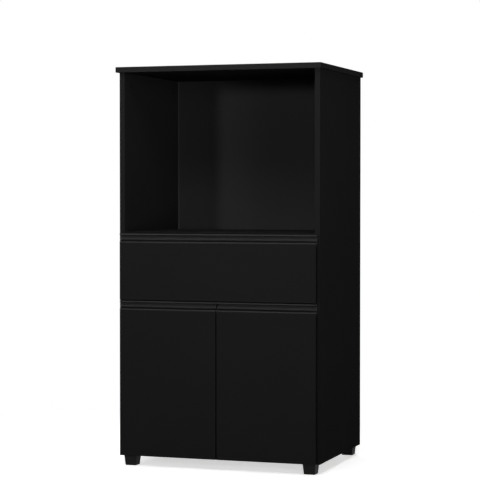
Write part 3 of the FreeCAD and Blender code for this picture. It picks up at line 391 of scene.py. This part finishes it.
# --- Materials -----------------------------------------------------------------------------
BOARD_GLOSS = 0.0        # specular level of the melamine faces
FOOT_GLOSS = 0.05        # specular level of the feet
HANDLE_GLOSS = 0.05      # specular level of the handle profiles
SLIDE_GLOSS = 0.35       # specular level of the slides' coating
WOOD_GLOSS = 0.2         # specular level of the dowels
BAND_COAT = 0.01         # gloss of the plastic bands
BAND_COAT_ROUGHNESS = 0.35
BAND_SMOOTHER = 0.06     # how much less rough a band is than a face
BAND_FLATTER = 0.6       # share of the pebble that a band lacks
BOARD_ROUGHNESS = 0.40
PRINT_ROUGHNESS = 0.48   # black print of the hardboard
PROFILE_ROUGHNESS = 0.34
COATING_ROUGHNESS = 0.3  # powder coat of the slides
RAW_ROUGHER = 0.45       # how much rougher raw particle board is than melamine
BARE_ROUGHER = 0.34      # how much rougher bare hardboard is than its print
PALER = 1.5              # how much lighter a black finish is in its palest clouds
WORN = (0.05, 0.045, 0.04, 1.0)         # melamine rubbed at an edge
RUBBED = (0.035, 0.035, 0.035, 1.0)     # handle profile rubbed at an edge
BARE_STEEL = (0.22, 0.22, 0.22, 1.0)    # slide with its coating rubbed through
LIGHTER_STRIP = (0.057, 0.057, 0.057, 1.0)    # lighter print in a strip of a back panel beside a side
STRIP_WIDTH = 0.0038     # width of that lighter strip
STRIP_SHARE = 0.7        # share of the lighter colour there
DUST_COLOUR = (0.18, 0.17, 0.155, 1.0)
BEECH_FLECK = (0.2, 0.1, 0.05, 1.0)
RAW_DEPTH = 3.0          # depth of raw particle board or hardboard, to the melamine's pebble
FINE_DEPTH = 0.00003     # metres of relief in moulded plastic, profiles and powder coat
MARK_DEPTH = 0.00002     # metres of relief in plated metal
GRAIN_DEPTH = 0.00005    # metres of relief in raw beech


def four(rgb):
    """A colour with full alpha."""
    return (rgb[0], rgb[1], rgb[2], 1.0)


def toned(rgb, factor, lift=0.0):
    """A colour made lighter or darker by a factor, then lifted."""
    return four([min(1.0, part * factor + lift) for part in rgb])


def new_material(name, **constants):
    """A material with a Principled BSDF. Returns the material, its nodes and its shader."""
    material = bpy.data.materials.new(name)
    material.use_nodes = True
    material.node_tree.nodes.clear()
    nodes = Nodes(material.node_tree)
    shader = nodes.add("ShaderNodeBsdfPrincipled")
    for socket, value in constants.items():
        shader.inputs[socket.replace("_", " ")].default_value = value
    output = nodes.add("ShaderNodeOutputMaterial")
    nodes.tree.links.new(shader.outputs[0], output.inputs["Surface"])
    return material, nodes, shader


def bump(nodes, shader, height, distance):
    """Feeds a height to the shader's normal."""
    node = nodes.add("ShaderNodeBump", {"Height": height, "Distance": distance, "Strength": 1.0})
    nodes.feed(shader.inputs["Normal"], node.outputs[0])


def cloud(nodes, size, contrast):
    """Slow variation in patches of a size in metres."""
    return use(nodes, "cloud", {"Size": size, "Contrast": contrast})["Value"]


def pebble(nodes, size):
    """Height of a pebbled texture with grains of a size in metres."""
    return use(nodes, "pebble", {"Size": size})["Height"]


def rubbing(nodes, finishes, radius, breakup):
    """Where sharp edges are rubbed, broken up in patches of a size in metres."""
    values = {"Radius": radius, "Amount": finishes.wear, "Breakup": breakup}
    return use(nodes, "wear", values)["Mask"]


def drifting(nodes, rgb, factor, mask, most):
    """A colour that drifts to a toned one where a mask is high, by a share at most."""
    return nodes.blend(nodes.math("MULTIPLY", mask, most), four(rgb), toned(rgb, factor))


def board_material(name, finishes, thickness_axis, raw_directions=(), band=None, face=None):
    """Satin melamine with banded edges, and raw particle board where they face raw_directions."""
    material, nodes, shader = new_material(name, Specular_IOR_Level=BOARD_GLOSS,
                                           Coat_Roughness=BAND_COAT_ROUGHNESS)
    banded = use(nodes, "edge_faces", {"Axis": thickness_axis})["Mask"]
    base = nodes.blend(banded, four(face or finishes.board), four(band or finishes.band))
    tone = cloud(nodes, size=0.16, contrast=1.2)
    base = nodes.blend(nodes.math("MULTIPLY", tone, 0.3), base,
                       nodes.blend(1.0, base, (PALER, PALER, PALER, 1.0), "MULTIPLY"))
    base = nodes.blend(rubbing(nodes, finishes, finishes.wear_radius, breakup=0.014), base, WORN)
    dust = use(nodes, "dust", {"Amount": finishes.dust})["Mask"]
    base = nodes.blend(dust, base, DUST_COLOUR)
    smudge = cloud(nodes, size=0.045, contrast=2.0)
    rough = nodes.plus(BOARD_ROUGHNESS, smudge, amount=0.12)
    rough = nodes.math("SUBTRACT", rough, nodes.math("MULTIPLY", banded, BAND_SMOOTHER))
    smoothed = nodes.math("SUBTRACT", 1.0, nodes.math("MULTIPLY", banded, BAND_FLATTER))
    height = nodes.math("MULTIPLY", pebble(nodes, finishes.pebble), smoothed)
    raw = None
    for direction in raw_directions:
        mask = use(nodes, "faces_along", {"Direction": direction})["Mask"]
        raw = mask if raw is None else nodes.math("MAXIMUM", raw, mask)
    if raw is not None:
        chips = use(nodes, "chipboard", {"Colour": four(finishes.chip)})
        base = nodes.blend(raw, base, chips["Colour"])
        rough = nodes.plus(rough, raw, RAW_ROUGHER, clamp=True)
        height = nodes.plus(height, raw, nodes.math("MULTIPLY", chips["Height"], RAW_DEPTH))
    nodes.feed(shader.inputs["Base Color"], base)
    nodes.feed(shader.inputs["Roughness"], rough)
    nodes.feed(shader.inputs["Coat Weight"], nodes.math("MULTIPLY", banded, BAND_COAT))
    bump(nodes, shader, height, finishes.pebble_depth)
    return material


def back_material(name, finishes, bare_direction, clear_half):
    """Hardboard, black on one face and bare on the other; its print lightened as painted light, and
    lighter still in a narrow strip beside the sides.
    """
    material, nodes, shader = new_material(name, Specular_IOR_Level=BOARD_GLOSS)
    bare = use(nodes, "faces_along", {"Direction": bare_direction})["Mask"]
    fibre = use(nodes, "hardboard", {"Colour": four(finishes.fibre)})
    # The print's colour is lightened as painted light for the niche's interior.
    paint = drifting(nodes, finishes.back, PALER, cloud(nodes, size=0.2, contrast=1.0), most=0.35)
    parts = nodes.add("ShaderNodeSeparateXYZ", {0: nodes.place()}).outputs
    # A lighter strip of print along the inner edges, beside the sides.
    strip_mask = nodes.range(nodes.math("ABSOLUTE", parts["X"]), low=clear_half - STRIP_WIDTH,
                          high=clear_half - STRIP_WIDTH / 2)
    paint = nodes.blend(nodes.math("MULTIPLY", strip_mask, STRIP_SHARE), paint, LIGHTER_STRIP)
    nodes.feed(shader.inputs["Base Color"], nodes.blend(bare, paint, fibre["Colour"]))
    rough = nodes.plus(PRINT_ROUGHNESS, bare, BARE_ROUGHER)
    smudge = cloud(nodes, size=0.05, contrast=1.6)
    rough = nodes.plus(rough, smudge, amount=0.1, clamp=True)
    nodes.feed(shader.inputs["Roughness"], rough)
    height = nodes.math("MULTIPLY", pebble(nodes, size=0.0016), 0.5)
    height = nodes.plus(height, bare, nodes.math("MULTIPLY", fibre["Height"], RAW_DEPTH))
    bump(nodes, shader, height, finishes.pebble_depth)
    return material


def profile_material(name, finishes):
    """Satin black extruded profile with fine draw lines."""
    material, nodes, shader = new_material(name, Specular_IOR_Level=HANDLE_GLOSS)
    lines = use(nodes, "draw_lines", {"Spacing": 0.0007})["Height"]
    tone = nodes.range(lines, low=0.3, high=0.7, to_low=0.0, to_high=0.35)
    base = nodes.blend(tone, four(finishes.handle), toned(finishes.handle, PALER))
    base = nodes.blend(rubbing(nodes, finishes, radius=0.0008, breakup=0.02), base, RUBBED)
    nodes.feed(shader.inputs["Base Color"], base)
    touched = cloud(nodes, size=0.035, contrast=2.2)
    nodes.feed(shader.inputs["Roughness"], nodes.plus(PROFILE_ROUGHNESS, touched, 0.14))
    bump(nodes, shader, lines, FINE_DEPTH)
    return material


def plastic_material(name, finishes, rgb, grain, roughness, gloss=0.25, clear=0.0):
    """Moulded plastic with a fine grain and rubbed edges."""
    material, nodes, shader = new_material(name, Specular_IOR_Level=gloss,
                                           Transmission_Weight=clear)
    tone = cloud(nodes, size=0.02, contrast=1.3)
    base = drifting(nodes, rgb, factor=0.75, mask=tone, most=0.3)
    worn = rubbing(nodes, finishes, radius=0.001, breakup=0.008)
    base = nodes.blend(nodes.math("MULTIPLY", worn, 0.6), base, toned(rgb, 1.3, lift=0.04))
    nodes.feed(shader.inputs["Base Color"], base)
    nodes.feed(shader.inputs["Roughness"], nodes.plus(roughness, tone, amount=0.14))
    bump(nodes, shader, pebble(nodes, grain), FINE_DEPTH)
    return material


def coated_material(name, finishes):
    """Powder-coated steel with orange peel."""
    material, nodes, shader = new_material(name, Specular_IOR_Level=SLIDE_GLOSS)
    worn = rubbing(nodes, finishes, radius=0.0008, breakup=0.01)
    tone = cloud(nodes, size=0.03, contrast=1.2)
    base = drifting(nodes, finishes.slide, PALER, tone, most=0.3)
    nodes.feed(shader.inputs["Base Color"], nodes.blend(worn, base, BARE_STEEL))
    nodes.feed(shader.inputs["Metallic"], nodes.math("MULTIPLY", worn, 0.8))
    nodes.feed(shader.inputs["Roughness"], nodes.plus(COATING_ROUGHNESS, tone, 0.12))
    bump(nodes, shader, pebble(nodes, size=0.0014), FINE_DEPTH)
    return material


def metal_material(name, finishes, rgb, roughness, mark_size=0.002):
    """Plated or cast metal with tumbling marks and dull patches."""
    material, nodes, shader = new_material(name)
    marks = use(nodes, "scratches", {"Size": mark_size})["Height"]
    dull = cloud(nodes, size=0.012, contrast=1.8)
    base = drifting(nodes, rgb, factor=0.6, mask=dull, most=0.35)
    worn = rubbing(nodes, finishes, radius=0.0006, breakup=0.004)
    base = nodes.blend(nodes.math("MULTIPLY", worn, 0.5), base, toned(rgb, 1.35))
    nodes.feed(shader.inputs["Base Color"], base)
    nodes.feed(shader.inputs["Metallic"], nodes.math("SUBTRACT", 1.0, nodes.math(
        "MULTIPLY", dull, 0.08)))
    rough = nodes.plus(roughness, dull, amount=0.16)
    nodes.feed(shader.inputs["Roughness"], nodes.plus(rough, marks, amount=0.1))
    bump(nodes, shader, marks, MARK_DEPTH)
    return material


def dowel_material(name, finishes):
    """Raw beech with flecks."""
    grain_per_metre = (120.0, 1600.0, 1600.0)
    flecks_per_metre = (400.0, 3000.0, 3000.0)
    material, nodes, shader = new_material(name, Specular_IOR_Level=WOOD_GLOSS)
    place = nodes.place()
    grain = nodes.noise(nodes.vector("MULTIPLY", place, grain_per_metre), detail=3.0,
                        roughness=0.6, distortion=0.4)
    flecks = nodes.noise(nodes.vector("MULTIPLY", place, flecks_per_metre), detail=1.0)
    flecks = nodes.range(flecks, low=0.58, high=0.68)
    base = nodes.blend(nodes.range(grain, low=0.3, high=0.7), four(finishes.beech),
                       toned(finishes.beech, 0.72))
    base = nodes.blend(nodes.math("MULTIPLY", flecks, 0.5), base, BEECH_FLECK)
    nodes.feed(shader.inputs["Base Color"], base)
    nodes.feed(shader.inputs["Roughness"],
               nodes.range(grain, low=0.3, high=0.7, to_low=0.55, to_high=0.72))
    bump(nodes, shader, grain, GRAIN_DEPTH)
    return material


def finish(nodes_named, material):
    """Gives a material to every slot of the named CAD nodes."""
    for name in nodes_named:
        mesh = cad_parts[name].data
        if not mesh.materials:
            mesh.materials.append(material)
        for slot in range(len(mesh.materials)):
            mesh.materials[slot] = material


def clear_half(left_piece):
    """The distance from the middle plane to the inner face of a piece at the left."""
    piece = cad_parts[left_piece]
    return -max((piece.matrix_world @ Vector(corner)).x for corner in piece.bound_box)


# --- Operators -----------------------------------------------------------------------------
class StandOperator:
    """What all the stand's operators share."""

    bl_options = {"REGISTER", "UNDO"}

    @property
    def finishes(self):
        """The finish settings of the current scene."""
        return bpy.context.scene.stand_finishes


class STAND_OT_carcass(StandOperator, bpy.types.Operator):
    """Finish the sides, the top and the boards between them"""

    bl_idname = "stand.carcass"
    bl_label = "Carcass boards"

    def execute(self, context):
        finishes = self.finishes
        finish(("left_side", "right_side"),
               board_material("Side board", finishes, ALONG_X, (ALONG_Y, DOWN, ALONG_Z)))
        # The top board's edge band is lightened as painted light.
        finish(("top_board",),
               board_material("Top board", finishes, ALONG_Z, band=finishes.lit_top_band))
        # The cross boards' edge band is darkened as painted shade.
        finish(("niche_floor", "drawer_rail", "bottom_board", "cupboard_shelf"),
               board_material("Cross board", finishes, ALONG_Z, (ALONG_Y,), finishes.shade_dark_band))
        return {"FINISHED"}


class STAND_OT_backs(StandOperator, bpy.types.Operator):
    """Finish the hardboard back panels and the drawer bottom"""

    bl_idname = "stand.backs"
    bl_label = "Back panels"

    def execute(self, context):
        finish(("upper_back", "lower_back"),
               back_material("Back panel", self.finishes, ALONG_Y, clear_half("left_side")))
        finish(("drawer_bottom",), back_material("Drawer bottom", self.finishes, DOWN,
                                                 clear_half("drawer_left_side")))
        return {"FINISHED"}


class STAND_OT_fronts(StandOperator, bpy.types.Operator):
    """Finish the doors and the drawer front"""

    bl_idname = "stand.fronts"
    bl_label = "Doors and drawer front"

    def execute(self, context):
        # The fronts' edge band is darkened as painted shade, for the shadow gaps beside them.
        finish(("left_door", "right_door", "drawer_front"),
               board_material("Front board", self.finishes, ALONG_Y,
                              band=self.finishes.shade_dark_band, face=self.finishes.front))
        return {"FINISHED"}


class STAND_OT_handles(StandOperator, bpy.types.Operator):
    """Finish the finger-pull profiles"""

    bl_idname = "stand.handles"
    bl_label = "Handle profiles"

    def execute(self, context):
        finish(("drawer_handle", "left_door_handle", "right_door_handle"),
               profile_material("Handle profile", self.finishes))
        return {"FINISHED"}


class STAND_OT_drawer_box(StandOperator, bpy.types.Operator):
    """Finish the drawer's sides and back"""

    bl_idname = "stand.drawer_box"
    bl_label = "Drawer box"

    def execute(self, context):
        finish(("drawer_left_side", "drawer_right_side"),
               board_material("Drawer side", self.finishes, ALONG_X, (DOWN, ALONG_Y)))
        finish(("drawer_back",), board_material("Drawer back", self.finishes, ALONG_Y, (DOWN,)))
        return {"FINISHED"}


class STAND_OT_feet(StandOperator, bpy.types.Operator):
    """Finish the four feet"""

    bl_idname = "stand.feet"
    bl_label = "Feet"

    def execute(self, context):
        names = ["foot_" + end + "_" + side for end in ("front", "rear")
                 for side in ("left", "right")]
        finish(names, plastic_material("Foot plastic", self.finishes, self.finishes.foot,
                                       grain=0.0011, roughness=0.5, gloss=FOOT_GLOSS))
        return {"FINISHED"}


class STAND_OT_slides(StandOperator, bpy.types.Operator):
    """Finish the roller slides"""

    bl_idname = "stand.slides"
    bl_label = "Roller slides"

    def execute(self, context):
        finish(("left_cabinet_rail", "right_cabinet_rail", "left_drawer_runner",
                "right_drawer_runner"), coated_material("Slide coating", self.finishes))
        finish(("cabinet_rollers", "drawer_rollers"),
               plastic_material("Roller plastic", self.finishes, self.finishes.roller,
                                grain=0.0009, roughness=0.35, gloss=0.5))
        return {"FINISHED"}


class STAND_OT_hinges(StandOperator, bpy.types.Operator):
    """Finish the concealed hinges"""

    bl_idname = "stand.hinges"
    bl_label = "Concealed hinges"

    def execute(self, context):
        finish(("left_hinge_cups", "right_hinge_cups", "left_hinge_links", "right_hinge_links",
                "hinge_arms", "hinge_plates", "hinge_arm_screws"),
               metal_material("Nickel plating", self.finishes, self.finishes.nickel,
                              roughness=0.24))
        return {"FINISHED"}


class STAND_OT_fasteners(StandOperator, bpy.types.Operator):
    """Finish screws, nails, pins, cams, dowels and bumpers"""

    bl_idname = "stand.fasteners"
    bl_label = "Fasteners and bumpers"

    def execute(self, context):
        finishes = self.finishes
        finish(("back_nails", "cam_bolts", "drawer_cam_bolts", "shelf_pins", "foot_screws",
                "cabinet_screws", "runner_screws", "drawer_box_screws", "left_cup_screws",
                "right_cup_screws", "cabinet_roller_axles", "drawer_roller_axles"),
               metal_material("Zinc plating", finishes, finishes.zinc, roughness=0.28,
                              mark_size=0.0012))
        finish(("cam_drums", "drawer_cam_drums"),
               metal_material("Zinc casting", finishes, finishes.casting, roughness=0.42,
                              mark_size=0.0018))
        finish(("cam_caps", "drawer_cam_caps"),
               plastic_material("Cap plastic", finishes, finishes.cap, grain=0.0007,
                                roughness=0.45, gloss=BOARD_GLOSS))
        finish(("dowels", "drawer_dowels"), dowel_material("Beech dowel", finishes))
        finish(("drawer_bumpers", "left_door_bumpers", "right_door_bumpers"),
               plastic_material("Bumper", finishes, finishes.bumper, grain=0.0008,
                                roughness=0.3, gloss=0.5, clear=0.4))
        return {"FINISHED"}


# --- Stage ---------------------------------------------------------------------------------
WHITE = (1.0, 1.0, 1.0, 1.0)
FLOOR_REACH = 30.0       # half of the floor's width
FLOOR_FADE = (0.4, 1.3)  # distance from the stand over which the floor turns pure white
FLOOR_GLOSS = 0.1
FLOOR_ROUGHNESS = 0.8
FAR_END = 100.0          # the camera sees nothing beyond it
UPPER_PART = (0.0, 0.0, 1.2)  # the upright softboxes look at it, so their light fades downwards
BELOW_CEILING = (0.2, -0.6, 0.0)
SPREAD = math.radians(50)
CEILING_SPREAD = math.radians(90)
# Name, its power's setting, width, place, target and spread.
SOFTBOXES = (
    ("Key softbox", "key_power", 0.4, (-1.72, -4.84, 1.39), UPPER_PART, SPREAD),
    ("Side softbox", "side_power", 1.6, (2.8, -2.8, 0.9), UPPER_PART, SPREAD),
    ("Front softbox", "front_power", 1.6, (0.4, -2.2, 3.0), UPPER_PART, SPREAD),
    ("Rear softbox", "rear_power", 1.6, (-2.6, 4.2, 1.6), UPPER_PART, SPREAD),
    ("Ceiling softbox", "ceiling_power", 5.0, (0.2, -0.6, 5.5), BELOW_CEILING, CEILING_SPREAD),
)


def seen_directly(nodes):
    """1 for camera, glossy and transmission rays, 0 for the light that falls on the stand."""
    path = nodes.add("ShaderNodeLightPath").outputs
    seen = nodes.math("MAXIMUM", path["Is Camera Ray"], path["Is Glossy Ray"])
    return nodes.math("MAXIMUM", seen, path["Is Transmission Ray"])


class STAND_OT_stage(StandOperator, bpy.types.Operator):
    """Build the floor, the soft lights and the camera"""

    bl_idname = "stand.stage"
    bl_label = "Floor, light and camera"

    def execute(self, context):
        scene = context.scene
        stage = scene.stand_stage
        self.make_world(scene, stage)
        self.make_floor(scene, stage)
        for name, setting, width, place, target, spread in SOFTBOXES:
            self.make_softbox(scene, name, getattr(stage, setting), width, place, target, spread)
        self.make_camera(scene, stage)
        scene.view_settings.view_transform = "Standard"
        return {"FINISHED"}

    def make_world(self, scene, stage):
        """Soft light from all round, pure white where it is seen."""
        world = bpy.data.worlds.new("Soft surroundings")
        world.use_nodes = True
        world.node_tree.nodes.clear()
        nodes = Nodes(world.node_tree)
        strength = nodes.range(seen_directly(nodes), 0.0, 1.0, stage.ambient, 1.0)
        back = nodes.add("ShaderNodeBackground", {"Color": WHITE, "Strength": strength})
        nodes.add("ShaderNodeOutputWorld", {"Surface": back.outputs[0]})
        scene.world = world

    def make_floor(self, scene, stage):
        """A pale floor that keeps the stand's shadow and fades to white far away."""
        corners = [(FLOOR_REACH * x, FLOOR_REACH * y, 0.0)
                   for x, y in ((-1, -1), (1, -1), (1, 1), (-1, 1))]
        mesh = bpy.data.meshes.new("stage_floor")
        mesh.from_pydata(corners, [], [(0, 1, 2, 3)])
        floor = bpy.data.objects.new("stage_floor", mesh)
        scene.collection.objects.link(floor)
        material, nodes, shader = new_material("Pale floor", Specular_IOR_Level=FLOOR_GLOSS,
                                               Roughness=FLOOR_ROUGHNESS)
        nodes.feed(shader.inputs["Base Color"], four(stage.floor))
        seen = seen_directly(nodes)
        own = nodes.add("ShaderNodeEmission", {
            "Color": WHITE, "Strength": nodes.math("MULTIPLY", seen, stage.floor_glow)})
        near = nodes.add("ShaderNodeAddShader", {0: shader.outputs[0], 1: own.outputs[0]})
        fade = nodes.range(nodes.vector("LENGTH", nodes.place()), *FLOOR_FADE)
        white = nodes.add("ShaderNodeEmission", {"Color": WHITE, "Strength": 1.0})
        mixed = nodes.add("ShaderNodeMixShader", {0: nodes.math("MULTIPLY", fade, seen),
                                                  1: near.outputs[0], 2: white.outputs[0]})
        output = nodes.tree.get_output_node("ALL")
        nodes.feed(output.inputs["Surface"], mixed.outputs[0])
        mesh.materials.append(material)

    def make_softbox(self, scene, name, power, width, place, target, spread):
        """A square soft light that looks from its place at a target."""
        light = bpy.data.lights.new(name, "AREA")
        light.energy = power
        light.size = width
        light.spread = spread
        box = bpy.data.objects.new(name, light)
        box.location = place
        box.rotation_euler = (Vector(target) - Vector(place)).to_track_quat("-Z", "Y").to_euler()
        scene.collection.objects.link(box)

    def make_camera(self, scene, stage):
        """The main view's camera."""
        data = bpy.data.cameras.new("Camera")
        data.sensor_width = SENSOR
        data.lens = stage.focal_pixels * SENSOR / IMAGE_WIDTH
        data.clip_end = FAR_END
        camera = bpy.data.objects.new("Camera", data)
        camera.location = (stage.camera_right, -stage.camera_front, stage.camera_height)
        camera.rotation_euler = (math.pi / 2 - stage.camera_tilt, 0.0, stage.camera_yaw)
        scene.collection.objects.link(camera)
        scene.camera = camera


class STAND_PT_panel(bpy.types.Panel):
    """The stand's finishes and stage"""

    bl_idname = "STAND_PT_panel"
    bl_label = "Microwave stand"
    bl_space_type = "VIEW_3D"
    bl_region_type = "UI"
    bl_category = "Stand"

    def draw(self, context):
        layout = self.layout
        for group in (context.scene.stand_finishes, context.scene.stand_stage):
            box = layout.box()
            for name in group.__annotations__:
                box.prop(group, name)
        for operator in OPERATORS:
            layout.operator(operator.bl_idname)


OPERATORS = (STAND_OT_carcass, STAND_OT_backs, STAND_OT_fronts, STAND_OT_handles,
             STAND_OT_drawer_box, STAND_OT_feet, STAND_OT_slides, STAND_OT_hinges,
             STAND_OT_fasteners, STAND_OT_stage)
CLASSES = (StandFinishes, StandStage) + OPERATORS + (STAND_PT_panel,)


def register():
    """Registers the classes and their settings."""
    for made in CLASSES:
        bpy.utils.register_class(made)
    bpy.types.Scene.stand_finishes = PointerProperty(type=StandFinishes)
    bpy.types.Scene.stand_stage = PointerProperty(type=StandStage)


def unregister():
    """Removes the classes and their settings."""
    del bpy.types.Scene.stand_stage
    del bpy.types.Scene.stand_finishes
    for made in reversed(CLASSES):
        bpy.utils.unregister_class(made)


def main():
    """Registers the add-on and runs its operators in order."""
    register()
    for operator in OPERATORS:
        group, name = operator.bl_idname.split(".")
        getattr(getattr(bpy.ops, group), name)()


if __name__ == "__main__":
    main()
